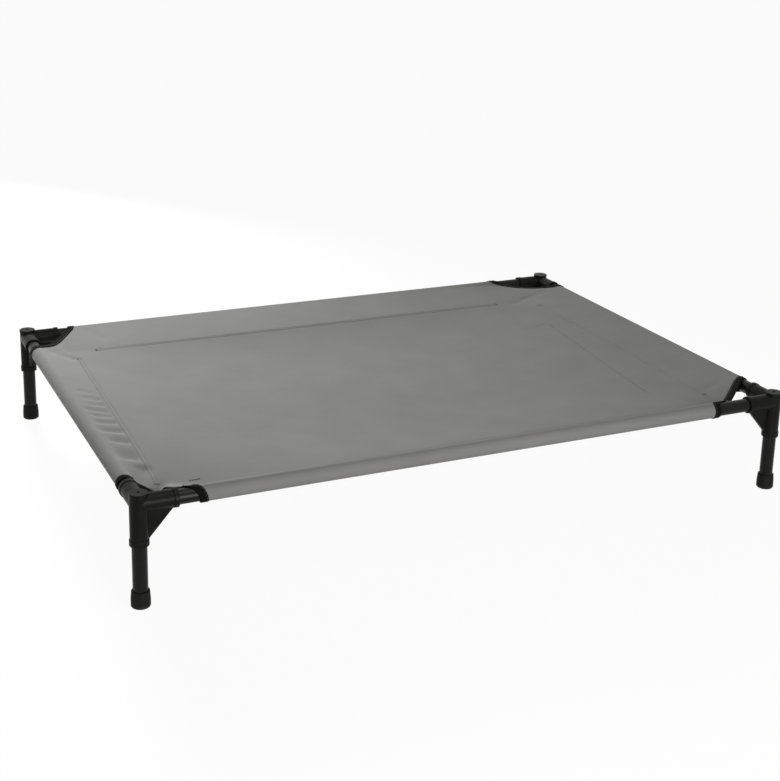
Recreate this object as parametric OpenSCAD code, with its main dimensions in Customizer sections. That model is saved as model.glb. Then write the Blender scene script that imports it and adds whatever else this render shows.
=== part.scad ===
// Raised dog cot: a fabric deck stretched on a push-fit tube frame
// Millimetres, +Z up, origin on the floor under the middle of the cot
// +X runs along the cot, -Y is the front

/* [Frame] */
// Distance between leg axes along the cot
leg_span_x = 1040; // [600:5:1300]
// Distance between leg axes across the cot
leg_span_y = 735; // [450:5:900]
// Height of the connector caps above the floor
cot_h = 165; // [130:1:260]

/* [Tubes] */
// Outer diameter of the rails and legs
tube_d = 21; // [16:0.5:28]
// Wall of the rails and legs
tube_wall = 1; // [0.8:0.1:2]

/* [Corner connector] */
// Wall of the three sockets
socket_wall = 2; // [1.5:0.1:4]
// Wall between the leg axis bore and the ends of the rail bores
core_wall = 3.4; // [2:0.2:6]
// Distance from the leg axis to the mouth of a rail socket
socket_reach = 53; // [42:1:70]
// Distance from the cap top down to the mouth of the leg socket
leg_socket_h = 75; // [60:1:100]
// Height of the collar round a socket mouth above the socket
collar_lip = 1; // [0.5:0.1:2.5]
// Length of the collar on a rail socket
collar_l = 7; // [4:0.5:12]
// Length of the collar on the leg socket
rim_l = 8.5; // [5:0.5:14]
// Rounding of the collar and cap edges
edge_r = 0.7; // [0.2:0.1:1.2]
// Height of the cap above the rail sockets
cap_rise = 3; // [1:0.5:6]
// Thickness of the cap
cap_t = 4; // [2:0.5:8]
// Overhang of the cap round the leg socket
cap_lip = 0.6; // [0.2:0.1:2]
// Diameter of the moulding dimple in the cap
dimple_d = 5; // [2:0.5:8]
// Depth of the moulding dimple
dimple_depth = 0.8; // [0.4:0.1:1.5]
// Thickness of the gusset webs
gusset_t = 6; // [3:0.5:12]

/* [Foot] */
// Height of a rubber foot
foot_h = 24; // [16:1:36]
// Thickness of rubber under the leg tube
foot_floor = 5; // [3:0.5:10]
// Thickness of rubber round the leg tube at the widest
foot_wall = 3; // [2:0.1:5]
// How much the foot draws in at its mouth
foot_draw = 0.9; // [0.2:0.1:1.5]
// Rounding of the foot's lower edge
foot_edge = 3; // [1:0.5:4.5]

/* [Cover] */
// Thickness of the fabric
cover_t = 1; // [0.6:0.1:2]
// Distance from the leg axis to the end of a sleeve on the long rails
sleeve_end_x = 92; // [80:1:140]
// Distance from the leg axis to the end of a sleeve on the short rails
sleeve_end_y = 74; // [72:1:140]
// Distance from a short rail's axis to its sleeve seam
pocket_x = 66; // [50:1:75]
// Distance from a long rail's axis to its sleeve seam
pocket_y = 66; // [50:1:90]
// How far the seams lie below the deck's edges on the rails
seam_drop = 9; // [2:0.5:11]
// Width of the hem sewn under the deck
hem_w = 12; // [6:1:20]
// How far the middle of the deck hangs below its seams
deck_sag = 14; // [0:1:40]
// Width of the binding tape on each face of the fabric
binding_w = 10.5; // [6:0.5:16]
// Thickness of the binding tape
binding_t = 0.8; // [0.4:0.1:1.5]

/* [Fits] */
// Radial clearance of a tube in its socket or foot
socket_fit = 0.05; // [0.02:0.01:0.15]
// Gap between the end of a tube and its stop
end_gap = 0.2; // [0:0.1:1]
// Gap between the fabric and the tube inside it
cover_fit = 0.25; // [0.2:0.05:0.8]
// Gap between layers of fabric that are sewn together
seam_gap = 0.1; // [0.05:0.05:0.3]

/* [Hidden] */
$fn = 96;

// Cells of the deck from a short rail to its seam, between the corner bindings, and across between the hems
pocket_cells = 3;
span_cells = 18;
row_cells = 12;
// Segments of a rounded edge
round_steps = 4;
// Overlap that fuses the shapes of one piece
weld = 0.5;
// Depth by which a flap's face crosses the round of its sleeve
graze = 0.1;

half_x = leg_span_x / 2;
half_y = leg_span_y / 2;
tube_r = tube_d / 2;
bore_r = tube_r + socket_fit;
socket_r = bore_r + socket_wall;
collar_r = socket_r + collar_lip;
cap_r = socket_r + cap_lip;
rail_z = cot_h - cap_rise - socket_r;
stop = bore_r + core_wall;
mouth_z = cot_h - leg_socket_h;
leg_top = rail_z - stop - end_gap;

wrap_r = tube_r + cover_fit;
skin_r = wrap_r + cover_t;
deck_low = rail_z + wrap_r;
deck_top = deck_low + cover_t;
hem_top = wrap_r - seam_drop - seam_gap;
hem_low = hem_top - cover_t;
sag_x = half_x - pocket_x - hem_w;
sag_y = half_y - pocket_y - hem_w;
sleeve_x_l = leg_span_x - 2 * sleeve_end_x;
sleeve_y_l = leg_span_y - 2 * sleeve_end_y;
cut_slope = norm([1 / sleeve_end_x, 1 / sleeve_end_y]);
// Reach of a corner binding along the long rail from the leg axis, and its width across the cot
strip_x = sleeve_end_x * (1 + (binding_w + weld) * cut_slope);
strip_y = sleeve_end_y * (binding_w + weld) * cut_slope;

plastic_black = "#23231f";
coat_black = "#2b2b28";
rubber_black = "#1d1d1c";
cover_grey = "#868683";
tape_black = "#1f1f1d";

// Points of a rounded corner in a revolved profile
function arc(centre, r, from, to) = [
    for (i = [0 : round_steps])
        let (a = from + (to - from) * i / round_steps)
            centre + r * [cos(a), sin(a)]
];

// Where a line from point p touches a circle at the origin, on the side below the line
function touch(p, r) = r * [
    cos(atan2(p.y, p.x) - acos(r / norm(p))),
    sin(atan2(p.y, p.x) - acos(r / norm(p)))
];

// Half the deck's width at a place along the cot, less the corner cuts
function deck_half(x) =
    half_y - sleeve_end_y * max(0, abs(x) - half_x + sleeve_end_x) / sleeve_end_x;

// Share of the seams' drop at a distance inward from a rail
function fall(inward, seam) = min(1, inward / seam);

// Share of the sag at one coordinate, inward from the hems
function bowl(a, reach) = max(0, 1 - pow(abs(a) / reach, 3));

// How far the deck lies below its edges: level under the corner bindings, then down to the middle
function dip(x, y) =
    let (in_x = half_x - abs(x), in_y = half_y - abs(y))
        in_x < strip_x + weld && deck_half(x) - abs(y) < strip_y + weld ? 0 :
            seam_drop * fall(in_x, pocket_x) * fall(in_y, pocket_y)
            + deck_sag * bowl(x, sag_x) * bowl(y, sag_y);

// Turns and moves a shape drawn at the front left corner to another corner
module at_corner(right, back) {
    translate([right ? half_x : -half_x, back ? half_y : -half_y, 0])
        flip([1, 0, 0], right)
            flip([0, 1, 0], back)
                children();
}

module flip(axis, on) {
    if (on) mirror(axis) children();
    else children();
}

// Points local +Z along +X or along +Y
module along_x() {
    rotate([90, 0, 90]) children();
}

module along_y() {
    rotate([90, 0, 180]) children();
}

// A disc with rounded edges, standing on the origin
module rounded_disc(r, h) {
    rotate_extrude()
        polygon(concat(
            [[0, 0]],
            arc([r - edge_r, edge_r], edge_r, -90, 0),
            arc([r - edge_r, h - edge_r], edge_r, 0, 90),
            [[0, h]]
        ));
}

// One socket along +Z from the leg axis, with the collar round its mouth
module socket(reach, mouth_l) {
    cylinder(r = socket_r, h = reach - edge_r);
    translate([0, 0, reach - mouth_l])
        rounded_disc(collar_r, mouth_l);
}

module socket_bore(reach) {
    translate([0, 0, stop])
        cylinder(r = bore_r, h = reach - stop + weld);
}

// Triangular web that braces a rail socket from the leg socket, in the plane of local X and Y
module gusset() {
    translate([0, 0, -gusset_t / 2])
        linear_extrude(gusset_t)
            polygon([
                [0, 0],
                [socket_reach - collar_l + weld, 0],
                [socket_reach - collar_l + weld, -socket_r],
                [socket_r, mouth_z - rail_z + rim_l - weld],
                [0, mouth_z - rail_z + rim_l - weld]
            ]);
}

module connector() {
    leg_reach = rail_z - mouth_z;
    color(plastic_black)
        translate([0, 0, rail_z])
            difference() {
                union() {
                    mirror([0, 0, 1]) socket(leg_reach, rim_l);
                    along_x() socket(socket_reach, collar_l);
                    along_y() socket(socket_reach, collar_l);
                    rotate([90, 0, 0]) gusset();
                    rotate([90, 0, 90]) gusset();
                    cylinder(r = socket_r, h = socket_r + cap_rise - edge_r);
                    translate([0, 0, socket_r + cap_rise - cap_t])
                        rounded_disc(cap_r, cap_t);
                }
                mirror([0, 0, 1]) socket_bore(leg_reach);
                along_x() socket_bore(socket_reach);
                along_y() socket_bore(socket_reach);
                translate([0, 0, socket_r + cap_rise - dimple_depth])
                    cylinder(d = dimple_d, h = dimple_depth + weld);
            }
}

// Round tube along +Z from the origin
module tube(l) {
    color(coat_black)
        difference() {
            cylinder(r = tube_r, h = l);
            translate([0, 0, -weld])
                cylinder(r = tube_r - tube_wall, h = l + 2 * weld);
        }
}

module leg_tube() {
    translate([0, 0, foot_floor])
        tube(leg_top - foot_floor);
}

// Rubber cup on the end of a leg, widest near the floor, with a rounded lower edge
module foot() {
    wide_r = tube_r + foot_wall;
    mouth_r = wide_r - foot_draw;
    color(rubber_black)
        rotate_extrude()
            polygon(concat(
                [[0, 0]],
                arc([wide_r - foot_edge, foot_edge], foot_edge, -90, 0),
                [[wide_r, foot_h / 2]],
                arc([mouth_r - edge_r, foot_h - edge_r], edge_r, 0, 90),
                [[bore_r, foot_h], [bore_r, foot_floor], [0, foot_floor]]
            ));
}

module long_rail() {
    rail_l = leg_span_x - 2 * (stop + end_gap);
    translate([-rail_l / 2, 0, rail_z])
        along_x() tube(rail_l);
}

module short_rail() {
    rail_l = leg_span_y - 2 * (stop + end_gap);
    translate([0, -rail_l / 2, rail_z])
        along_y() tube(rail_l);
}

// Places from -half to half: the given distances inward from both ends, and even cells between
function places(half, inward, cells) =
    let (rest = half - inward[len(inward) - 1])
        concat(
            [for (d = inward) d - half],
            [for (i = [1 : cells - 1]) rest * (2 * i / cells - 1)],
            [for (i = [len(inward) - 1 : -1 : 0]) half - inward[i]]
        );

// Fabric sheet with cut corners, drawn down from its rails to the seams and hanging in the middle
module deck_panel() {
    side_columns = concat(
        [for (i = [0 : pocket_cells]) pocket_x * i / pocket_cells],
        [pocket_x + hem_w, sleeve_end_x, strip_x]
    );
    side_rows = [0, strip_y, pocket_y, pocket_y + hem_w];
    stations = places(half_x, side_columns, span_cells);
    columns = len(stations) - 1;
    rows = len(places(half_y, side_rows, row_cells)) - 1;
    layer = (columns + 1) * (rows + 1);
    function at(i, j, low) = (low ? layer : 0) + i * (rows + 1) + j;
    function quad(a, b, c, d) = [[a, b, c], [a, c, d]];
    points = [
        for (z = [deck_top, deck_low])
            for (x = stations)
                for (y = places(deck_half(x), side_rows, row_cells))
                    [x, y, z - dip(x, y)]
    ];
    faces = [
        for (i = [0 : columns - 1])
            for (j = [0 : rows - 1])
                each concat(
                    quad(at(i, j, false), at(i, j + 1, false), at(i + 1, j + 1, false), at(i + 1, j, false)),
                    quad(at(i, j, true), at(i + 1, j, true), at(i + 1, j + 1, true), at(i, j + 1, true))
                ),
        for (i = [0 : columns - 1])
            each concat(
                quad(at(i, 0, false), at(i + 1, 0, false), at(i + 1, 0, true), at(i, 0, true)),
                quad(at(i + 1, rows, false), at(i, rows, false),
                    at(i, rows, true), at(i + 1, rows, true))
            ),
        for (j = [0 : rows - 1])
            each concat(
                quad(at(0, j + 1, false), at(0, j, false), at(0, j, true), at(0, j + 1, true)),
                quad(at(columns, j, false), at(columns, j + 1, false),
                    at(columns, j + 1, true), at(columns, j, true))
            )
    ];
    color(cover_grey)
        polyhedron(points, faces);
}

// Outside of a sleeve, grown by extra, with the rail's axis at the origin and the deck on the right
module pocket_outside(seam, extra) {
    low = [seam, hem_low - extra];
    circle(r = skin_r + extra);
    polygon([
        [0, 0],
        touch(low, skin_r + extra - graze),
        low,
        [seam + hem_w, hem_low - extra],
        [seam + hem_w, hem_top],
        [seam, hem_top]
    ]);
}

// Space inside a sleeve, open to the deck above
module pocket_inside(seam) {
    high = [seam, hem_top];
    circle(r = wrap_r);
    polygon([
        [0, 0],
        touch(high, wrap_r - graze),
        high,
        [seam, skin_r + binding_t + weld],
        [0, skin_r + binding_t + weld]
    ]);
}

// Fabric round a rail from the deck's edge, under the tube and back up to the hem
module sleeve(seam, l) {
    color(cover_grey)
        linear_extrude(l)
            difference() {
                pocket_outside(seam, 0);
                pocket_inside(seam);
            }
}

module long_sleeve() {
    translate([-sleeve_x_l / 2, -half_y, rail_z])
        along_x() sleeve(pocket_y, sleeve_x_l);
}

module short_sleeve() {
    translate([-half_x, sleeve_y_l / 2, rail_z])
        rotate([90, 0, 0]) sleeve(pocket_x, sleeve_y_l);
}

// Tape folded over the mouth of a sleeve that starts at the origin and runs along +Z
module mouth_binding(seam) {
    difference() {
        translate([0, 0, -binding_t])
            linear_extrude(binding_w + binding_t)
                pocket_outside(seam, binding_t);
        translate([0, 0, -seam_gap])
            linear_extrude(binding_w + seam_gap + weld)
                pocket_outside(seam, seam_gap);
        translate([0, 0, -binding_t - weld])
            linear_extrude(binding_w + binding_t + 2 * weld)
                pocket_inside(seam);
    }
}

// Strip along the corner cut, between lines moved from the cut by a distance, each way into the deck
module cut_strip(from, to) {
    near = 1 + from * cut_slope;
    far = 1 + to * cut_slope;
    polygon([
        [sleeve_end_x * near, -weld],
        [sleeve_end_x * far, -weld],
        [sleeve_end_x * far, 0],
        [0, sleeve_end_y * far],
        [-weld, sleeve_end_y * far],
        [-weld, sleeve_end_y * near],
        [0, sleeve_end_y * near],
        [sleeve_end_x * near, 0]
    ]);
}

// Tape folded over the corner cut of the deck and over the mouths of the two sleeves beside it
module corner_binding() {
    color(tape_black)
        union() {
            difference() {
                translate([0, 0, deck_low - binding_t])
                    linear_extrude(cover_t + 2 * binding_t)
                        cut_strip(-binding_t, binding_w);
                translate([0, 0, deck_low - seam_gap])
                    linear_extrude(cover_t + 2 * seam_gap)
                        cut_strip(-seam_gap, binding_w + weld);
                translate([0, 0, rail_z])
                    along_x() cylinder(r = skin_r + seam_gap, h = half_x);
                translate([0, 0, rail_z])
                    along_y() cylinder(r = skin_r + seam_gap, h = half_y);
            }
            translate([sleeve_end_x, 0, rail_z])
                along_x() mouth_binding(pocket_y);
            translate([0, sleeve_end_y, rail_z])
                rotate([90, 0, 0]) mirror([0, 0, 1]) mouth_binding(pocket_x);
        }
}

at_corner(false, false) connector();  // connector_front_left
at_corner(true, false) connector();  // connector_front_right
at_corner(false, true) connector();  // connector_back_left
at_corner(true, true) connector();  // connector_back_right
at_corner(false, false) leg_tube();  // leg_tube_front_left
at_corner(true, false) leg_tube();  // leg_tube_front_right
at_corner(false, true) leg_tube();  // leg_tube_back_left
at_corner(true, true) leg_tube();  // leg_tube_back_right
at_corner(false, false) foot();  // foot_front_left
at_corner(true, false) foot();  // foot_front_right
at_corner(false, true) foot();  // foot_back_left
at_corner(true, true) foot();  // foot_back_right
translate([0, -half_y, 0]) long_rail();  // rail_front
translate([0, half_y, 0]) long_rail();  // rail_back
translate([-half_x, 0, 0]) short_rail();  // rail_left
translate([half_x, 0, 0]) short_rail();  // rail_right
deck_panel();
long_sleeve();  // sleeve_front
mirror([0, 1, 0]) long_sleeve();  // sleeve_back
short_sleeve();  // sleeve_left
mirror([1, 0, 0]) short_sleeve();  // sleeve_right
at_corner(false, false) corner_binding();  // binding_front_left
at_corner(true, false) corner_binding();  // binding_front_right
at_corner(false, true) corner_binding();  // binding_back_left
at_corner(true, true) corner_binding();  // binding_back_right
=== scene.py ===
import math

import bpy
import numpy as np
from mathutils import Matrix, Vector


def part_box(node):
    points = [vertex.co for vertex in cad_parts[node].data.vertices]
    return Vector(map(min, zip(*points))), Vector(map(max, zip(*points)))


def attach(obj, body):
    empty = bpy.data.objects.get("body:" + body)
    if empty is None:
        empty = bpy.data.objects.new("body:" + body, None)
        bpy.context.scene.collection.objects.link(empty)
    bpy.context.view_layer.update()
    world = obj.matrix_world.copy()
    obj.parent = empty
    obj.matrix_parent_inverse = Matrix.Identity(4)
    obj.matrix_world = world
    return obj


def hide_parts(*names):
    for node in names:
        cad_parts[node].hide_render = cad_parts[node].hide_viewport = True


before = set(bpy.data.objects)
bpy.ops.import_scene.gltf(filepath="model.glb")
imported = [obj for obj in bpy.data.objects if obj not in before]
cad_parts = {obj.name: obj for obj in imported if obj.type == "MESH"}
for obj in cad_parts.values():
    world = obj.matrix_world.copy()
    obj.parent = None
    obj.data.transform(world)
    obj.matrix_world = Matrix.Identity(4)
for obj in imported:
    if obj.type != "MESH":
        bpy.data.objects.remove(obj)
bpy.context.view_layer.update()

MM = 0.001

# Side along the cot and across it of each corner
CORNERS = {
    "front_left": (-1, -1),
    "front_right": (1, -1),
    "back_left": (-1, 1),
    "back_right": (1, 1),
}


# Sizes taken from the frame

def middle(node_name):
    """Middle of the box of a node of the frame"""
    low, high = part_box(node_name)
    return (low + high) / 2


RAIL_Z = middle("rail_front").z
HALF_X = middle("rail_right").x
HALF_Y = middle("rail_back").y
# Outside of the cloth round a rail
SKIN_R = -HALF_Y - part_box("sleeve_front")[0].y
TOP_Z = RAIL_Z + SKIN_R
# Where a corner cut meets the long rail and the short rail, from the leg's axis, on a centred cover
END_X = HALF_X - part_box("sleeve_front")[1].x
END_Y = HALF_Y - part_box("sleeve_left")[1].y
# The cover lies a little off centre on its rails: to the left, forward at its left end, back at its right
SLIDE_X = -19 * MM
SLIDE_LEFT_Y = -12 * MM
SLIDE_RIGHT_Y = 6 * MM
LEFT_CUT_X = END_X + SLIDE_X
RIGHT_CUT_X = END_X - SLIDE_X


def by_corner(values, x, y):
    """The value of the corner nearest to each place"""
    front = np.where(np.asarray(x) < 0, values["front_left"], values["front_right"])
    back = np.where(np.asarray(x) < 0, values["back_left"], values["back_right"])
    return np.where(np.asarray(y) < 0, front, back)


def cut_x(x):
    """Length of the corner cut along the long rail, at the nearer end of the cot"""
    return np.where(np.asarray(x) < 0, LEFT_CUT_X, RIGHT_CUT_X)


def cut_y(x, y):
    """Length of the corner cut along the short rail, at the nearest corner"""
    slide = np.where(np.asarray(x) < 0, SLIDE_LEFT_Y, SLIDE_RIGHT_Y)
    return END_Y - np.sign(y) * slide


# Where each corner cut bends, as shares of its lengths along the long rail and the short rail
CUT_BEND = {
    "front_left": (0.45, 0.45),
    "front_right": (0.79, 0.06),
    "back_left": (0.33, 0.88),
    "back_right": (0.5, 0.5),
}
BEND_X = {name: bend[0] for name, bend in CUT_BEND.items()}
BEND_Y = {name: bend[1] for name, bend in CUT_BEND.items()}


# Sizes of the cover

CLOTH_T = 0.9 * MM
# How far the seams lie below the top of the rails, how far the middle hangs below them,
# and how soon it gets there
SEAM_DROP = 9 * MM
SAG = 14 * MM
SAG_POWER = 3
# How far the middle of each corner cut hangs, and the curl of its edge,
# with the share of the cut that each fades in
CORNER_DROP = {"front_left": 13 * MM, "front_right": 2 * MM, "back_left": 0, "back_right": 6 * MM}
DROP_FADE = 1.4
CORNER_CURL = 2 * MM
CURL_FADE = 0.25
# Least share of the way from the leg's axis to a corner cut, and past it, that the hang is worked out for
LEAST_REACH = 0.2
LEAST_PAST = -0.3
# How steeply the cloth may dip past the side of a rail's tube
TUBE_SIDE_SLOPE = 4
# How far the mouth of a long sleeve leans inward from the top of its rail to the underside,
# the length of cloth round the rail in which it does, and how far along the sleeve that shows
MOUTH_LEAN = {"front_left": 11 * MM, "front_right": 0, "back_left": 0, "back_right": 0}
LEAN_RUN = 26 * MM
LEAN_FADE = 80 * MM
# Sleeve seams, from the axes of their rails, and their front or left and back or right ends,
# from the leg's axis
SEAM = {"left": 48 * MM, "right": 85 * MM, "front": 18 * MM, "back": 112 * MM}
SEAM_END = {
    "left": (60 * MM, 148 * MM),
    "right": (62 * MM, 150 * MM),
    "front": (88 * MM, 104 * MM),
    "back": (94 * MM, 165 * MM),
}
# The left seam runs out of line with its rail
SEAM_SLANT = {"left": 0.029, "right": 0, "front": 0, "back": 0}
# Distance between the two rows of a double-needle seam
NEEDLE_GAP = 6 * MM
GROOVE_DEPTH = 0.6 * MM
# Share of it along the long seams, which are drawn in less
LONG_GROOVE = 0.35
GROOVE_W = 1.6 * MM
# How far a groove runs on past the last stitch
SEAM_FADE = 8 * MM
# How far the cloth stands up between the rows, as a share of the groove's depth
RIDGE = 0.8
HEM_W = 12 * MM
# Drop from the deck's upper face to the lower face of the hem sewn under it
HEM_DROP = 2.1 * MM

# Gathers across the left sleeve and creases at the corners, the last one lifted by the tape beside it:
# two ends, depth, and width to the left and the right
CREASES = [
    ((-505 * MM, 58 * MM), (-486 * MM, 38 * MM), 1.4 * MM, (9 * MM, 6 * MM)),
    ((-501 * MM, 25 * MM), (-478 * MM, 8 * MM), 1.9 * MM, (10 * MM, 6 * MM)),
    ((-501 * MM, -9 * MM), (-476 * MM, -14 * MM), 1.5 * MM, (9 * MM, 6 * MM)),
    ((-512 * MM, -30 * MM), (-477 * MM, -46 * MM), 2.0 * MM, (10 * MM, 6 * MM)),
    ((-508 * MM, -59 * MM), (-477 * MM, -64 * MM), 1.8 * MM, (9 * MM, 6 * MM)),
    ((-511 * MM, -90 * MM), (-475 * MM, -90 * MM), 2.3 * MM, (11 * MM, 6 * MM)),
    ((-512 * MM, -123 * MM), (-475 * MM, -126 * MM), 2.8 * MM, (13 * MM, 7 * MM)),
    ((-509 * MM, -160 * MM), (-477 * MM, -170 * MM), 3.1 * MM, (15 * MM, 7 * MM)),
    ((-511 * MM, -222 * MM), (-480 * MM, -226 * MM), 4.8 * MM, (26 * MM, 9 * MM)),
    ((-482 * MM, -253 * MM), (-506 * MM, -308 * MM), 3.4 * MM, (12 * MM, 10 * MM)),
    ((-502 * MM, 264 * MM), (-466 * MM, 214 * MM), 1.6 * MM, (7 * MM, 10 * MM)),
    ((498 * MM, -270 * MM), (440 * MM, -292 * MM), 0.8 * MM, (7 * MM, 7 * MM)),
    ((494 * MM, 285 * MM), (424 * MM, 268 * MM), 1.2 * MM, (7 * MM, 7 * MM)),
    ((432 * MM, 271 * MM), (383 * MM, 242 * MM), 1.2 * MM, (7 * MM, 7 * MM)),
    ((-424 * MM, 352 * MM), (-398 * MM, 290 * MM), 0.8 * MM, (7 * MM, 7 * MM)),
    ((400 * MM, -350 * MM), (384 * MM, -300 * MM), 0.7 * MM, (7 * MM, 7 * MM)),
    ((-480 * MM, -331 * MM), (-446 * MM, -356 * MM), -11.5 * MM, (18 * MM, 10 * MM)),
]
# Shares of its length over which a crease sets in and runs out
CREASE_BEGINS = (-0.1, 0.2)
CREASE_ENDS = (0.8, 1.1)
# Sharp folds left from packing, drawn as painted shade darkening the colour of the cloth: their ends
FOLDS = [
    ((391 * MM, 118 * MM), (352 * MM, -277 * MM)),
    ((391 * MM, 118 * MM), (335 * MM, 116 * MM)),
]
FOLD_W = 1.5 * MM
# Lengths over which a fold sets in and runs out, and length of its dashes
FOLD_BEGIN = 12 * MM
FOLD_END = 30 * MM
FOLD_DASH = 12 * MM

TAPE_W = 10.5 * MM
TAPE_T = 0.5 * MM
TAPE_OVER = 0.75 * MM
TAPE_UNDER = -CLOTH_T - 0.3 * MM
# Section of the folded tape, from its inner edge on top, round the cut edge, to its inner edge below:
# distance in from the cut edge, and height over the cloth
TAPE_SECTION = [
    (TAPE_W, 0.55 * MM),
    (0.66 * TAPE_W, TAPE_OVER),
    (0.33 * TAPE_W, TAPE_OVER),
    (0.4 * MM, TAPE_OVER),
    (-0.5 * MM, 0.4 * MM),
    (-0.8 * MM, -CLOTH_T / 2),
    (-0.5 * MM, -CLOTH_T),
    (0.4 * MM, TAPE_UNDER),
    (0.33 * TAPE_W, TAPE_UNDER),
    (0.66 * TAPE_W, TAPE_UNDER),
    (TAPE_W, TAPE_UNDER),
]
# Rounding of the tape's turns, the share of a straight it may take up, and the points in a turn
TAPE_TURN = 16 * MM
TURN_SHARE = 0.45
TURN_POINTS = 12
# Step along the tape
TAPE_STEP = 3 * MM

# Stitches, bar tacks, and how high each kind lies over the cloth
SEAM_STITCH = 4.2 * MM
SEAM_PITCH = 5.0 * MM
THREAD_W = 0.8 * MM
TACK_L = 9 * MM
TACK_PITCH = 0.9 * MM
TACK_STITCH = 3.2 * MM
SEAM_LIFT = 0.1 * MM
TACK_LIFT = 0.3 * MM
TAPE_LIFT = 1.1 * MM
# Share of a stitch's section that is left at its ends
STITCH_END = 0.04
# Distance of the tape's stitches from its inner edge
TAPE_ROW = 2 * MM
# Ends of a short double row sewn beside the left end of the front seam, and the stitches in a row
SIDE_TACK = ((-433 * MM, -315 * MM), (-421 * MM, -313.6 * MM))
SIDE_TACK_STITCHES = 4

# Cells of the cloth
CELL_X = 7 * MM
CELL_Y = 4.5 * MM
ARC_CELL = 2.8 * MM
SEAM_CELL = 1.2 * MM
FLAP_CELL = 9 * MM
# Turn round a rail that has small cells, and the first place and the step of those beside it on the deck
CLOSE_TURN = 1.2 * math.pi
BESIDE_RAIL = 2 * MM
BESIDE_CELL = 2.4 * MM
# Step over which the slope of the cloth is measured
SLOPE_STEP = 0.2 * MM


# Building of materials

def linear(hex_colour):
    """An sRGB hex colour as linear RGBA"""
    parts = [int(hex_colour[i:i + 2], 16) / 255 for i in (1, 3, 5)]
    return tuple(p / 12.92 if p <= 0.04045 else ((p + 0.055) / 1.055) ** 2.4 for p in parts) + (1.0,)


def node(tree, kind, settings=None, inputs=None):
    """Adds a shader node with its settings, and sets or links its inputs"""
    made = tree.nodes.new("ShaderNode" + kind)
    for name, value in (settings or {}).items():
        setattr(made, name, value)
    for name, value in (inputs or {}).items():
        if isinstance(value, bpy.types.NodeSocket):
            tree.links.new(value, made.inputs[name])
        else:
            made.inputs[name].default_value = value
    return made


def empty_material(name):
    """A new material with nothing in its tree yet"""
    made = bpy.data.materials.new(name)
    made.use_nodes = True
    made.node_tree.nodes.clear()
    return made, made.node_tree


def maths(tree, operation, *values):
    """The result of one sum, product or other operation"""
    return node(tree, "Math", {"operation": operation}, dict(enumerate(values))).outputs[0]


def product(tree, *values):
    """Several values multiplied together"""
    total = values[0]
    for value in values[1:]:
        total = maths(tree, "MULTIPLY", total, value)
    return total


def remap(tree, value, low, high, at_low, at_high, steps="LINEAR"):
    """A value that goes from at_low to at_high while another goes from low to high"""
    return node(tree, "MapRange", {"interpolation_type": steps},
                {"Value": value, 1: low, 2: high, 3: at_low, 4: at_high}).outputs[0]


def noise(tree, place, size, detail):
    """Soft noise with lumps of a real size"""
    return node(tree, "TexNoise", inputs={"Vector": place, "Scale": 1 / size, "Detail": detail}).outputs[0]


def two_tones(tree, value, low, dark, high, light):
    """A colour that goes from dark to light while a value goes from low to high"""
    made = node(tree, "ValToRGB", inputs={"Fac": value})
    for i, (place, tone) in enumerate(((low, dark), (high, light))):
        made.color_ramp.elements[i].position = place
        made.color_ramp.elements[i].color = linear(tone)
    return made.outputs[0]


def main_shader(tree, inputs):
    """Ends the tree of a material with its one shader"""
    shader = node(tree, "BsdfPrincipled", inputs=inputs)
    node(tree, "OutputMaterial", inputs={"Surface": shader.outputs[0]})


# Materials

def painted_fold_shade(tree, cut, start, end):
    """1 on a sharp fold across the flat cut, where shade is painted into the cloth's colour, broken into
    dashes and fading at both ends
    """
    way = Vector(end) - Vector(start)
    ahead = way.normalized()
    place = node(tree, "VectorMath", {"operation": "SUBTRACT"}, {0: cut, 1: (*start, 0)}).outputs[0]
    along, off = [
        node(tree, "VectorMath", {"operation": "DOT_PRODUCT"}, {0: place, 1: axis}).outputs["Value"]
        for axis in ((*ahead, 0), (-ahead.y, ahead.x, 0))
    ]
    near = remap(tree, maths(tree, "ABSOLUTE", off), 0, FOLD_W, 1, 0, "SMOOTHSTEP")
    begins = remap(tree, along, 0, FOLD_BEGIN, 0, 1)
    ends = remap(tree, along, way.length - FOLD_END, way.length, 1, 0)
    dashes = remap(tree, noise(tree, cut, FOLD_DASH, 1), 0.4, 0.55, 0.25, 1)
    return product(tree, near, begins, ends, dashes)


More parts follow.
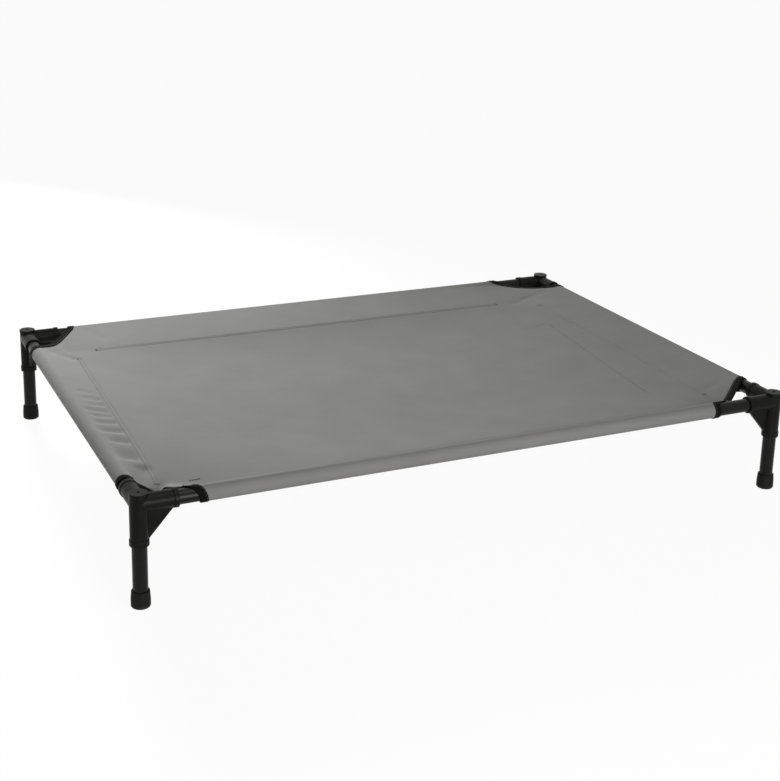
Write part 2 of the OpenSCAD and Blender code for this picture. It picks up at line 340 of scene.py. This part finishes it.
def coated_woven_polyester():
    """Plain-woven polyester with a thin coat: flat, matt grey cloth with a faint grid and a soft sheen"""
    made, tree = empty_material("coated_woven_polyester")
    cut = node(tree, "Attribute", {"attribute_name": "cut"}).outputs["Vector"]
    # The real threads are about 0.5 mm apart; they are drawn at 1.8 mm so that they show
    thread = 1.8 * MM
    ways = node(tree, "SeparateXYZ", inputs={0: cut}).outputs
    waves = [maths(tree, "SINE", maths(tree, "MULTIPLY", ways[way], math.pi / thread)) for way in "XY"]
    weave = product(tree, *waves)
    # Thick and thin places run along the threads for about 40 mm
    slub = node(tree, "Mapping", inputs={"Vector": cut, "Scale": (1 / (40 * MM), 1 / (3 * MM), 1)})
    slubs = noise(tree, slub.outputs[0], 1, 2)
    # The coat lies a little uneven over some 90 mm
    coat = noise(tree, cut, 90 * MM, 3)
    shade = maths(tree, "MULTIPLY_ADD", coat, 0.65, product(tree, slubs, 0.35))
    greys = two_tones(tree, shade, 0.3, "#7d7d7b", 0.7, "#868684")
    # Painted shade: the cloth's colour is darkened along each packing fold
    fold = maths(tree, "MAXIMUM", *[painted_fold_shade(tree, cut, *ends) for ends in FOLDS])
    tone = product(tree, remap(tree, weave, -1, 1, 0.94, 1.04), remap(tree, fold, 0, 1, 1, 0.62))
    colour = node(tree, "VectorMath", {"operation": "SCALE"}, {0: greys, "Scale": tone})
    relief = node(tree, "Bump", inputs={"Height": weave, "Strength": 0.25, "Distance": 0.12 * MM})
    main_shader(tree, {
        "Base Color": colour.outputs[0],
        "Roughness": remap(tree, coat, 0.3, 0.7, 0.76, 0.8),
        "Normal": relief.outputs[0],
        "Sheen Weight": 0.06,
        "Sheen Roughness": 0.5,
        "Specular IOR Level": 0.12,
    })
    return made


def woven_binding_tape():
    """Black polyester tape with cross ribs: dull, with a soft edge light from its fibres"""
    made, tree = empty_material("woven_binding_tape")
    cut = node(tree, "Attribute", {"attribute_name": "cut"}).outputs["Vector"]
    # Ribs are about 0.8 mm apart; they are drawn at 2 mm so that they show
    rib = 2 * MM
    along = node(tree, "SeparateXYZ", inputs={0: cut}).outputs["X"]
    ribs = maths(tree, "SINE", maths(tree, "MULTIPLY", along, 2 * math.pi / rib))
    fibre = noise(tree, cut, 1.5 * MM, 2)
    height = maths(tree, "MULTIPLY_ADD", ribs, 0.5, fibre)
    relief = node(tree, "Bump", inputs={"Height": height, "Strength": 0.5, "Distance": 0.25 * MM})
    main_shader(tree, {
        "Base Color": two_tones(tree, fibre, 0, "#090908", 1, "#131312"),
        "Roughness": 0.78,
        "Normal": relief.outputs[0],
        "Sheen Weight": 0.02,
        "Sheen Roughness": 0.4,
        "Specular IOR Level": 0.05,
    })
    return made


def moulded_polypropylene():
    """Injection-moulded black polypropylene with a fine grained tool face: satin, with broken highlights"""
    made, tree = empty_material("moulded_polypropylene")
    place = node(tree, "TexCoord").outputs["Object"]
    # The grain is about 0.3 mm; it is drawn at 0.9 mm so that it shows
    grain = noise(tree, place, 0.9 * MM, 2)
    # Moulded edges are a little rounded
    soft_edge = node(tree, "Bevel", inputs={"Radius": 0.7 * MM})
    flow = noise(tree, place, 22 * MM, 3)
    relief = node(tree, "Bump", inputs={
        "Height": grain,
        "Strength": 0.35,
        "Distance": 0.12 * MM,
        "Normal": soft_edge.outputs[0],
    })
    main_shader(tree, {
        "Base Color": two_tones(tree, flow, 0.3, "#0c0c08", 0.75, "#12120e"),
        "Roughness": remap(tree, flow, 0.3, 0.7, 0.36, 0.44),
        "Normal": relief.outputs[0],
        "IOR": 1.49,
        "Specular IOR Level": 0.09,
    })
    return made


def powder_coated_steel():
    """Baked black powder coat on steel tube: an even satin skin with a slight orange peel"""
    made, tree = empty_material("powder_coated_steel")
    place = node(tree, "TexCoord").outputs["Object"]
    peel = noise(tree, place, 2.2 * MM, 1)
    rub = noise(tree, place, 14 * MM, 4)
    relief = node(tree, "Bump", inputs={"Height": peel, "Strength": 0.25, "Distance": 0.15 * MM})
    main_shader(tree, {
        "Base Color": two_tones(tree, rub, 0.35, "#0a0a08", 0.8, "#0f0f0d"),
        "Roughness": remap(tree, rub, 0.3, 0.7, 0.3, 0.36),
        "Normal": relief.outputs[0],
        "IOR": 1.5,
        "Specular IOR Level": 0.15,
    })
    return made


def moulded_rubber():
    """Moulded black rubber: nearly matt, faintly pitted, greyed with floor dust round its lower edge"""
    made, tree = empty_material("moulded_rubber")
    place = node(tree, "TexCoord").outputs["Object"]
    pits = noise(tree, place, 1.2 * MM, 3)
    height = node(tree, "SeparateXYZ", inputs={0: place}).outputs["Z"]
    low = remap(tree, height, 7 * MM, 0.5 * MM, 0, 0.6, "SMOOTHSTEP")
    dust = product(tree, low, noise(tree, place, 5 * MM, 3))
    colour = node(tree, "Mix", {"data_type": "RGBA"},
                  {"Factor": dust, 6: linear("#0b0b0a"), 7: linear("#5a5853")})
    relief = node(tree, "Bump", inputs={"Height": pits, "Strength": 0.3, "Distance": 0.15 * MM})
    main_shader(tree, {
        "Base Color": colour.outputs[2],
        "Roughness": 0.66,
        "Normal": relief.outputs[0],
        "IOR": 1.52,
        "Specular IOR Level": 0.14,
    })
    return made


def polyester_thread(name, light, dark):
    """Twisted polyester sewing thread: a dull line with a fine slanting twist"""
    made, tree = empty_material(name)
    place = node(tree, "TexCoord").outputs["Object"]
    # The twist is about 0.3 mm long; it is drawn at 1 mm so that it shows
    twist = node(tree, "TexWave", {"bands_direction": "DIAGONAL"},
                 {"Vector": place, "Scale": 1 / (6 * MM), "Distortion": 1.0})
    main_shader(tree, {
        "Base Color": two_tones(tree, twist.outputs["Fac"], 0, dark, 1, light),
        "Roughness": 0.6,
        "Sheen Weight": 0.15,
    })
    return made


# Shape of the cover

def smooth(low, high, value):
    """0 below low, 1 above high, and a smooth step between"""
    share = np.clip((value - low) / (high - low), 0, 1)
    return share * share * (3 - 2 * share)


def deck_edge(x, side):
    """Place across the cot of the deck's front or back edge, less the corner cuts"""
    along = np.clip((HALF_X - np.abs(x)) / cut_x(x), 0, 1)
    bend_x, bend_y = by_corner(BEND_X, x, side), by_corner(BEND_Y, x, side)
    to_bend = 1 - (1 - bend_y) * along / bend_x
    past_bend = bend_y * (1 - along) / (1 - bend_x)
    into_cut = np.where(along < bend_x, to_bend, past_bend)
    return side * (HALF_Y - cut_y(x, side) * into_cut)


def seams():
    """The double-needle seams: axis they lie across, side, place of the outer row, both ends, and slant"""
    made = []
    for name, axis, side in (("left", 0, -1), ("right", 0, 1), ("front", 1, -1), ("back", 1, 1)):
        reach, half = (HALF_X, HALF_Y) if axis == 0 else (HALF_Y, HALF_X)
        start, end = SEAM_END[name]
        made.append((axis, side, side * (reach - SEAM[name]), start - half, half - end, SEAM_SLANT[name]))
    return made


SEAMS = seams()


def grooves(x, y):
    """The cloth is drawn in along each needle row and stands up between the rows"""
    depth = np.zeros(np.broadcast(x, y).shape)
    for axis, side, place, low, high, slant in SEAMS:
        off, along = (x - place - slant * y, y) if axis == 0 else (y - place - slant * x, x)
        rows = [np.exp(-((-side * off - row) / GROOVE_W) ** 2) for row in (0, NEEDLE_GAP / 2, NEEDLE_GAP)]
        sewn = smooth(low - SEAM_FADE, low, along) * (1 - smooth(high, high + SEAM_FADE, along))
        drawn = 1 if axis == 0 else LONG_GROOVE
        depth += (rows[0] - RIDGE * rows[1] + rows[2]) * sewn * drawn
    return GROOVE_DEPTH * depth


def creases(x, y):
    """Gathers and creases, each steeper on one side"""
    depth = np.zeros(np.broadcast(x, y).shape)
    for (x0, y0), (x1, y1), deep, wide in CREASES:
        length = math.hypot(x1 - x0, y1 - y0)
        way = ((x1 - x0) / length, (y1 - y0) / length)
        along = ((x - x0) * way[0] + (y - y0) * way[1]) / length
        off = (y - y0) * way[0] - (x - x0) * way[1]
        off = off / np.where(off > 0, *wide)
        within = smooth(*CREASE_BEGINS, along) * (1 - smooth(*CREASE_ENDS, along))
        depth += deep * np.exp(-off ** 2) * within
    return depth


def fall(inward, seam):
    """Share of the seams' drop at a distance inward from a rail: round its tube, then straight"""
    far = np.hypot(seam, SKIN_R - SEAM_DROP)
    leaves = SKIN_R * np.cos(np.arctan2(SKIN_R - SEAM_DROP, seam) + np.arccos(SKIN_R / far))
    on_tube = SKIN_R - np.sqrt(SKIN_R ** 2 - leaves ** 2)
    round_tube = SKIN_R - np.sqrt(SKIN_R ** 2 - np.minimum(inward, leaves) ** 2)
    straight = (SEAM_DROP - on_tube) * np.clip((inward - leaves) / (seam - leaves), 0, 1)
    return (round_tube + straight) / SEAM_DROP


def bowl(place, reach):
    """Share of the sag at one coordinate, inward from the seams"""
    return np.clip(1 - np.abs(place / reach) ** SAG_POWER, 0, None)


def tube_limit(inward):
    """How far the cloth can dip at a distance inward from a rail before it meets the tube"""
    on_tube = SKIN_R - np.sqrt(np.maximum(SKIN_R ** 2 - inward ** 2, 0))
    return np.where(inward < SKIN_R, on_tube, SKIN_R + TUBE_SIDE_SLOPE * (inward - SKIN_R))


def dip(x, y):
    """How far the deck lies below the top of its rails"""
    in_x, in_y = HALF_X - np.abs(x), HALF_Y - np.abs(y)
    seam_x = np.where(x < 0, SEAM["left"], SEAM["right"])
    seam_y = np.where(y < 0, SEAM["front"], SEAM["back"])
    sag = SEAM_DROP * fall(in_x, seam_x) * fall(in_y, seam_y)
    sag += SAG * bowl(x, HALF_X - seam_x) * bowl(y, HALF_Y - seam_y)
    along, across = in_x / cut_x(x), in_y / cut_y(x, y)
    reach = np.maximum(along + across, LEAST_REACH)
    past = np.maximum(reach - 1, LEAST_PAST)
    hang = by_corner(CORNER_DROP, x, y) * np.exp(-past / DROP_FADE)
    curl = CORNER_CURL * np.exp(-past / CURL_FADE)
    free = smooth(0, SKIN_R, in_x) * smooth(0, SKIN_R, in_y)
    # All of it in the middle of a cut, and none at its ends
    droop = (hang + curl) * free * 4 * along * across / reach ** 2
    loose = sag + droop + grooves(x, y) + creases(x, y)
    return np.minimum(loose, np.minimum(tube_limit(in_x), tube_limit(in_y)))


def wrap(length, seam, hem_z):
    """Place of the cloth past the top of a rail: inward from the axis, and up from it.
    It goes round the tube, then straight to the seam under the deck, then flat along the hem."""
    far = np.hypot(seam, hem_z)
    leaves = np.arctan2(hem_z, seam) - np.arccos(SKIN_R / far)
    turn = leaves + 1.5 * np.pi
    flap = np.sqrt(far ** 2 - SKIN_R ** 2)
    angle = np.clip(length / SKIN_R, 0, turn)
    on_flap = np.clip(length - SKIN_R * turn, 0, flap)
    on_hem = np.clip(length - SKIN_R * turn - flap, 0, None)
    inward = -SKIN_R * np.sin(angle) - np.cos(turn) * on_flap + on_hem
    up = SKIN_R * np.cos(angle) - np.sin(turn) * on_flap
    return inward, up


def wrap_length(seam):
    """Length of cloth from the top of a rail to the hem's edge"""
    hem_z = SKIN_R - SEAM_DROP - HEM_DROP
    far = math.hypot(seam, hem_z)
    turn = math.atan2(hem_z, seam) - math.acos(SKIN_R / far) + 1.5 * math.pi
    return SKIN_R * turn + math.sqrt(far ** 2 - SKIN_R ** 2) + HEM_W


WRAP = {name: wrap_length(seam) for name, seam in SEAM.items()}


def cloth(a, b):
    """Place of a point of the flat cut, a along the cot and b across it, when the cover is on its rails"""
    a, b = np.broadcast_arrays(np.asarray(a, float), np.asarray(b, float))
    x, y = np.clip(a, -HALF_X, HALF_X), np.clip(b, -HALF_Y, HALF_Y)
    z = TOP_Z - dip(x, y)
    past_x, past_y = np.abs(a) - HALF_X, np.abs(b) - HALF_Y
    seam_x = np.where(a < 0, SEAM["left"], SEAM["right"])
    seam_y = np.where(b < 0, SEAM["front"], SEAM["back"])
    dip_x = dip(np.sign(a) * (HALF_X - seam_x), y)
    dip_y = dip(x, np.sign(b) * (HALF_Y - seam_y))
    inward_x, up_x = wrap(np.maximum(past_x, 0), seam_x, SKIN_R - HEM_DROP - dip_x)
    inward_y, up_y = wrap(np.maximum(past_y, 0), seam_y, SKIN_R - HEM_DROP - dip_y)
    x = np.where(past_x > 0, np.sign(a) * (HALF_X - inward_x), x)
    y = np.where(past_y > 0, np.sign(b) * (HALF_Y - inward_y), y)
    z = np.where(past_x > 0, RAIL_Z + up_x, np.where(past_y > 0, RAIL_Z + up_y, z))
    # A hem follows the deck above it
    under = np.where((past_x > 0) & (inward_x > seam_x), dip_x, dip_y)
    hem = ((past_x > 0) & (inward_x > seam_x)) | ((past_y > 0) & (inward_y > seam_y))
    z = np.where(hem, z + under - dip(x, y), z)
    return np.stack([x, y, z], -1)


def cloth_normal(a, b):
    """Outward direction of the cloth at a point of the flat cut"""
    along = cloth(a + SLOPE_STEP, b) - cloth(a - SLOPE_STEP, b)
    across = cloth(a, b + SLOPE_STEP) - cloth(a, b - SLOPE_STEP)
    out = np.cross(along, across)
    return out / np.linalg.norm(out, axis=-1, keepdims=True)


# Building of meshes

def piece(name, points, faces, finish, cut=None):
    """A smooth-shaded mesh that rides on the frame, with the places of its points in the flat cut"""
    mesh = bpy.data.meshes.new(name)
    mesh.from_pydata(np.asarray(points).tolist(), [], faces)
    mesh.shade_smooth()
    mesh.materials.append(finish)
    if cut is not None:
        flat = mesh.attributes.new("cut", "FLOAT_VECTOR", "POINT")
        flat.data.foreach_set("vector", np.asarray(cut, np.float32).ravel())
    made = bpy.data.objects.new(name, mesh)
    bpy.context.scene.collection.objects.link(made)
    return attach(made, "root")


def grid_faces(numbers):
    """Quads of a grid of point numbers, facing up when rows run along x and columns along y"""
    corners = numbers[:-1, :-1], numbers[1:, :-1], numbers[1:, 1:], numbers[:-1, 1:]
    return np.stack(corners, -1).reshape(-1, 4).tolist()


def stations(low, high, cell, marks=()):
    """Places from low to high, at most a cell apart, with every mark among them"""
    stops = sorted({low, high, *[m for m in marks if low < m < high]})
    places = []
    for start, stop in zip(stops, stops[1:]):
        count = max(1, math.ceil((stop - start) / cell))
        places += [start + (stop - start) * i / count for i in range(count)]
    return np.array(places + [high])


def close_marks(axis):
    """Places where the cloth needs points close together: along the needle rows and beside the rails"""
    marks = []
    for way, side, place, low, high, slant in SEAMS:
        if way == axis:
            swing = 3 * SEAM_CELL + abs(slant) * max(abs(low), abs(high))
            marks += (place - side * np.arange(-swing, NEEDLE_GAP + swing, SEAM_CELL)).tolist()
    half = HALF_X if axis == 0 else HALF_Y
    beside = np.arange(BESIDE_RAIL, SKIN_R, BESIDE_CELL)
    return marks + (half - beside).tolist() + (beside - half).tolist()


def wrap_stations(name):
    """Lengths past the top of a rail, close together round the tube"""
    turn = SKIN_R * CLOSE_TURN
    return np.concatenate([stations(0, turn, ARC_CELL)[1:], stations(turn, WRAP[name], FLAP_CELL)[1:]])


def lean_in(a, b):
    """Places of a long sleeve in the flat cut, with its leaning mouths"""
    past = np.clip((np.abs(b) - HALF_Y) / LEAN_RUN, 0, 1)
    from_mouth = HALF_X - cut_x(a) - np.abs(a)
    fading = 1 - smooth(0, LEAN_FADE, from_mouth)
    return a - np.sign(a) * by_corner(MOUTH_LEAN, a, b) * past * fading


def cover_sheet(finish):
    """One sheet: the deck with its cut corners, and four edges that go round the rails"""
    cut_low, cut_high = LEFT_CUT_X - HALF_X, HALF_X - RIGHT_CUT_X
    columns = stations(-HALF_X, HALF_X, CELL_X, [cut_low, cut_high, *close_marks(0)])
    rows = stations(-HALF_Y, HALF_Y, CELL_Y, close_marks(1))
    deck_a, share = np.meshgrid(columns, (rows / HALF_Y + 1) / 2, indexing="ij")
    deck_b = deck_edge(deck_a, -1) * (1 - share) + deck_edge(deck_a, 1) * share
    inner = np.flatnonzero((columns >= cut_low) & (columns <= cut_high))

    flat = [np.stack([deck_a, deck_b], -1).reshape(-1, 2)]
    deck = np.arange(deck_a.size).reshape(deck_a.shape)
    faces = grid_faces(deck)
    count = deck.size

    edges = [
        ("front", deck[inner, 0], columns[inner], None),
        ("back", deck[inner, -1], columns[inner], None),
        ("left", deck[0], None, deck_b[0]),
        ("right", deck[-1], None, deck_b[-1]),
    ]
    for name, edge, along_x, along_y in edges:
        past = wrap_stations(name)
        numbers = count + np.arange(edge.size * past.size).reshape(edge.size, past.size)
        count += numbers.size
        if along_y is None:
            side = -1 if name == "front" else 1
            a, b = np.meshgrid(along_x, side * (HALF_Y + past), indexing="ij")
            a = lean_in(a, b)
            strip = np.column_stack([edge, numbers])
            faces += grid_faces(strip[:, ::-1] if side < 0 else strip)
        else:
            side = -1 if name == "left" else 1
            b, a = np.meshgrid(along_y, side * (HALF_X + past), indexing="ij")
            strip = np.column_stack([edge, numbers]).T
            faces += grid_faces(strip[::-1] if side < 0 else strip)
        flat.append(np.stack([a, b], -1).reshape(-1, 2))

    flat = np.concatenate(flat)
    made = piece("cover", cloth(flat[:, 0], flat[:, 1]), faces, finish, np.pad(flat, ((0, 0), (0, 1))))
    thick = made.modifiers.new("cloth_thickness", "SOLIDIFY")
    thick.thickness = CLOTH_T
    thick.offset = -1
    return made


def tape_edge(side_x, side_y):
    """Points of the flat cut along a corner's bound edge, from hem to hem, with rounded turns"""
    long_side = "front" if side_y < 0 else "back"
    short_side = "left" if side_x < 0 else "right"
    mouth_x, mouth_y = HALF_X - cut_x(side_x), HALF_Y - cut_y(side_x, side_y)
    bend_x, bend_y = by_corner(BEND_X, side_x, side_y), by_corner(BEND_Y, side_x, side_y)
    lean = by_corner(MOUTH_LEAN, side_x, side_y)
    stops = [
        (mouth_x - lean, HALF_Y + WRAP[long_side]),
        (mouth_x - lean, HALF_Y + LEAN_RUN),
        (mouth_x, HALF_Y),
        (HALF_X - bend_x * cut_x(side_x), HALF_Y - bend_y * cut_y(side_x, side_y)),
        (HALF_X, mouth_y),
        (HALF_X + WRAP[short_side], mouth_y),
    ]
    stops = [np.array(stop) * (side_x, side_y) for stop in stops]
    route = [stops[0]]
    for before, corner, after in zip(stops, stops[1:], stops[2:]):
        back, ahead = np.linalg.norm(before - corner), np.linalg.norm(after - corner)
        start = corner + (before - corner) / back * min(TAPE_TURN, TURN_SHARE * back)
        end = corner + (after - corner) / ahead * min(TAPE_TURN, TURN_SHARE * ahead)
        for t in np.linspace(0, 1, TURN_POINTS):
            route.append((1 - t) ** 2 * start + 2 * t * (1 - t) * corner + t ** 2 * end)
    route = np.array(route + [stops[-1]])
    run = np.concatenate([[0], np.cumsum(np.linalg.norm(np.diff(route, axis=0), axis=1))])
    even = np.linspace(0, run[-1], math.ceil(run[-1] / TAPE_STEP))
    path = np.stack([np.interp(even, run, route[:, i]) for i in (0, 1)], -1)
    way = np.gradient(path, axis=0)
    inward = np.stack([-way[:, 1], way[:, 0]], -1) / np.linalg.norm(way, axis=1, keepdims=True)
    inward *= np.sign(-(inward @ (side_x, side_y)))[:, None]
    return path, inward, even


def corner_tape(name, side_x, side_y, finish):
    """Tape folded over the cut edge of a corner and over the mouths of the two sleeves beside it"""
    path, inward, run = tape_edge(side_x, side_y)
    points, flat = [], []
    for i, (off, lift) in enumerate(TAPE_SECTION):
        at = path + inward * off
        points.append(cloth(at[:, 0], at[:, 1]) + cloth_normal(at[:, 0], at[:, 1]) * lift)
        flat.append(np.stack([run, np.full_like(run, off), np.full_like(run, i * MM)], -1))
    numbers = np.arange(len(TAPE_SECTION) * len(run)).reshape(-1, len(run))
    faces = grid_faces(numbers if side_x * side_y < 0 else numbers[:, ::-1])
    made = piece("corner_tape_" + name, np.concatenate(points), faces, finish, np.concatenate(flat))
    thick = made.modifiers.new("tape_thickness", "SOLIDIFY")
    thick.thickness = TAPE_T
    thick.offset = 0
    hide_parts("binding_" + name)
    return made


def stitch_shape(length, width, sides=6, rings=5):
    """One stitch along local x, rounded at both ends, as points and faces"""
    points = []
    for x in np.linspace(-1, 1, rings):
        round_off = math.sqrt(max(STITCH_END, 1 - abs(x) ** 4))
        for side in range(sides):
            angle = 2 * math.pi * side / sides
            points.append((x * length / 2, width / 2 * round_off * math.cos(angle),
                           width / 2 * round_off * math.sin(angle)))
    numbers = np.arange(rings * sides).reshape(rings, sides)
    ring = np.column_stack([numbers, numbers[:, 0]])
    faces = grid_faces(ring) + [numbers[0][::-1].tolist(), numbers[-1].tolist()]
    return np.array(points), faces


def stitches(name, places, ways, length, width, lift, finish):
    """A row of stitches on the cloth: places and directions are in the flat cut"""
    shape, shape_faces = stitch_shape(length, width)
    ahead = cloth(*(places + ways * SLOPE_STEP).T) - cloth(*(places - ways * SLOPE_STEP).T)
    ahead /= np.linalg.norm(ahead, axis=1, keepdims=True)
    out = cloth_normal(places[:, 0], places[:, 1])
    across = np.cross(out, ahead)
    centre = cloth(places[:, 0], places[:, 1]) + out * lift
    axes = np.stack([ahead, across, out], 1)
    points = centre[:, None, :] + np.einsum("pk,skx->spx", shape, axes)
    first = np.arange(len(places)) * len(shape)
    faces = [[n + start for n in face] for start in first.tolist() for face in shape_faces]
    return piece(name, points.reshape(-1, 3), faces, finish)


def seam_stitches(finish):
    """Top stitches of the double-needle seams"""
    places, ways = [], []
    for axis, side, place, low, high, slant in SEAMS:
        for row in (0, NEEDLE_GAP):
            for along in np.linspace(low, high, int((high - low) / SEAM_PITCH)):
                across = place - side * row + slant * along
                places.append((across, along) if axis == 0 else (along, across))
                ways.append((0, 1) if axis == 0 else (1, 0))
    return stitches("seam_stitches", np.array(places), np.array(ways, float),
                    SEAM_STITCH, THREAD_W, SEAM_LIFT, finish)


def bar_tacks(finish):
    """Close stitches across the ends of each double-needle seam, and the short row beside the front one"""
    places, ways = [], []
    for axis, side, place, low, high, slant in SEAMS:
        for along in (low, high):
            middle_row = place - side * NEEDLE_GAP / 2 + slant * along
            across = middle_row + np.arange(-TACK_L / 2, TACK_L / 2, TACK_PITCH)
            places += [(at, along) if axis == 0 else (along, at) for at in across]
            ways += [(0, 1) if axis == 0 else (1, 0)] * len(across)
    (low, lower_row), (high, upper_row) = SIDE_TACK
    run = np.linspace(low, high, SIDE_TACK_STITCHES)
    places += [(along, row) for row in (lower_row, upper_row) for along in run]
    ways += [(1, 0)] * 2 * len(run)
    return stitches("bar_tacks", np.array(places), np.array(ways, float),
                    TACK_STITCH, THREAD_W, TACK_LIFT, finish)


def tape_stitches(finish):
    """The row of stitches that holds each corner tape, near its inner edge"""
    places, ways = [], []
    for side_x, side_y in CORNERS.values():
        path, inward, run = tape_edge(side_x, side_y)
        row = path + inward * (TAPE_W - TAPE_ROW)
        length = np.concatenate([[0], np.cumsum(np.linalg.norm(np.diff(row, axis=0), axis=1))])
        even = np.arange(SEAM_PITCH, length[-1], SEAM_PITCH)
        at = np.stack([np.interp(even, length, row[:, i]) for i in (0, 1)], -1)
        way = np.gradient(at, axis=0)
        places.append(at)
        ways.append(way / np.linalg.norm(way, axis=1, keepdims=True))
    return stitches("tape_stitches", np.concatenate(places), np.concatenate(ways),
                    SEAM_STITCH, THREAD_W, TAPE_LIFT, finish)


# Finishes of the frame

plastic = moulded_polypropylene()
coat = powder_coated_steel()
rubber = moulded_rubber()
frame_finish = {"connector": plastic, "rail": coat, "leg": coat, "foot": rubber}
for node_name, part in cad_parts.items():
    finish = frame_finish.get(node_name.split("_")[0])
    if finish:
        part.data.materials.clear()
        part.data.materials.append(finish)


# The cover and what is sewn on it

cover = cover_sheet(coated_woven_polyester())
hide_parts("deck_panel", "sleeve_front", "sleeve_back", "sleeve_left", "sleeve_right")
tape = woven_binding_tape()
tapes = [corner_tape(name, *sides, tape) for name, sides in CORNERS.items()]
grey_thread = polyester_thread("grey_polyester_thread", "#6c6c69", "#545452")
dark_thread = polyester_thread("dark_grey_polyester_thread", "#4a4a48", "#363634")
black_thread = polyester_thread("black_polyester_thread", "#1e1e1c", "#0e0e0d")
sewn = [seam_stitches(grey_thread), bar_tacks(dark_thread), tape_stitches(black_thread)]


# Floor, world, lamps and camera

FLOOR_HALF = 30
# Share of plain white in what is seen of the floor; the rest shows the shadow
FLOOR_WHITE = 0.95


def white_to_the_eye(tree):
    """1 where a ray comes from the camera, from a gloss or through glass"""
    rays = node(tree, "LightPath").outputs
    seen = maths(tree, "MAXIMUM", rays["Is Camera Ray"], rays["Is Glossy Ray"])
    return maths(tree, "MAXIMUM", seen, rays["Is Transmission Ray"])


def pale_floor():
    """Matt white studio floor that shows a light shadow"""
    made, tree = empty_material("matt_white_studio_floor")
    share = product(tree, white_to_the_eye(tree), FLOOR_WHITE)
    paint = node(tree, "BsdfDiffuse", inputs={"Color": linear("#f2f2f0")})
    white = node(tree, "Emission", inputs={"Color": (1, 1, 1, 1), "Strength": 1.0})
    mixed = node(tree, "MixShader", inputs={0: share, 1: paint.outputs[0], 2: white.outputs[0]})
    node(tree, "OutputMaterial", inputs={"Surface": mixed.outputs[0]})
    return made


def studio_floor():
    """A wide floor, staged and no part of the cot"""
    mesh = bpy.data.meshes.new("floor")
    corners = [(x * FLOOR_HALF, y * FLOOR_HALF, 0) for x, y in ((-1, -1), (1, -1), (1, 1), (-1, 1))]
    mesh.from_pydata(corners, [], [(0, 1, 2, 3)])
    mesh.materials.append(pale_floor())
    made = bpy.data.objects.new("floor", mesh)
    bpy.context.scene.collection.objects.link(made)


def studio_world():
    """A white surround to the eye, and a faint even light on the cot"""
    world = bpy.data.worlds.new("studio")
    bpy.context.scene.world = world
    world.use_nodes = True
    tree = world.node_tree
    tree.nodes.clear()
    fill = node(tree, "Background", inputs={"Color": (1, 1, 1, 1), "Strength": 0.08})
    white = node(tree, "Background", inputs={"Color": (1, 1, 1, 1), "Strength": 1.0})
    seen = white_to_the_eye(tree)
    mixed = node(tree, "MixShader", inputs={0: seen, 1: fill.outputs[0], 2: white.outputs[0]})
    node(tree, "OutputWorld", inputs={"Surface": mixed.outputs[0]})


def soft_lamp(name, place, target, size, power, in_gloss=True):
    """A round lamp turned to its target, seen in glosses or not"""
    lamp = bpy.data.lights.new(name, "AREA")
    lamp.shape = "DISK"
    lamp.size = size
    lamp.energy = power
    made = bpy.data.objects.new(name, lamp)
    made.location = place
    made.rotation_euler = (Vector(target) - Vector(place)).to_track_quat("-Z", "Y").to_euler()
    made.visible_glossy = in_gloss
    bpy.context.scene.collection.objects.link(made)


def photo_camera():
    """Camera at the photograph's place, found from the four caps and three of the feet"""
    place = Vector((-0.9598, -2.0669, 0.9559))
    yaw, pitch, roll = (math.radians(d) for d in (-25.083, 15.6, 1.391))
    long_side_px, focal_px, raised_px = 781, 1434.8, 120
    ahead = Vector((-math.sin(yaw) * math.cos(pitch), math.cos(yaw) * math.cos(pitch), -math.sin(pitch)))
    level = Vector((math.cos(yaw), math.sin(yaw), 0))
    up = level.cross(ahead)
    right = math.cos(roll) * level + math.sin(roll) * up
    top = math.cos(roll) * up - math.sin(roll) * level
    lens = bpy.data.cameras.new("camera")
    lens.sensor_width = 36
    lens.lens = focal_px / long_side_px * lens.sensor_width
    lens.shift_y = -raised_px / long_side_px
    made = bpy.data.objects.new("camera", lens)
    turn = Matrix((right, top, -ahead)).transposed()
    made.matrix_world = Matrix.Translation(place) @ turn.to_4x4()
    bpy.context.scene.collection.objects.link(made)
    bpy.context.scene.camera = made


studio_floor()
studio_world()
# The strong lamp behind stays out of glosses, where it would burn spots into the black tubes
soft_lamp("key_lamp", (-0.4, 2.2, 1.05), (-2.8, 0.3, 0.15), 0.9, 168, in_gloss=False)
soft_lamp("top_lamp", (-0.15, -0.65, 1.6), (-0.3, -0.3, 0.15), 0.65, 4.5)
soft_lamp("front_lamp", (0.1, -2.6, 0.55), (0, 0, 0.12), 1.2, 38)
photo_camera()
bpy.context.scene.view_settings.view_transform = "Standard"
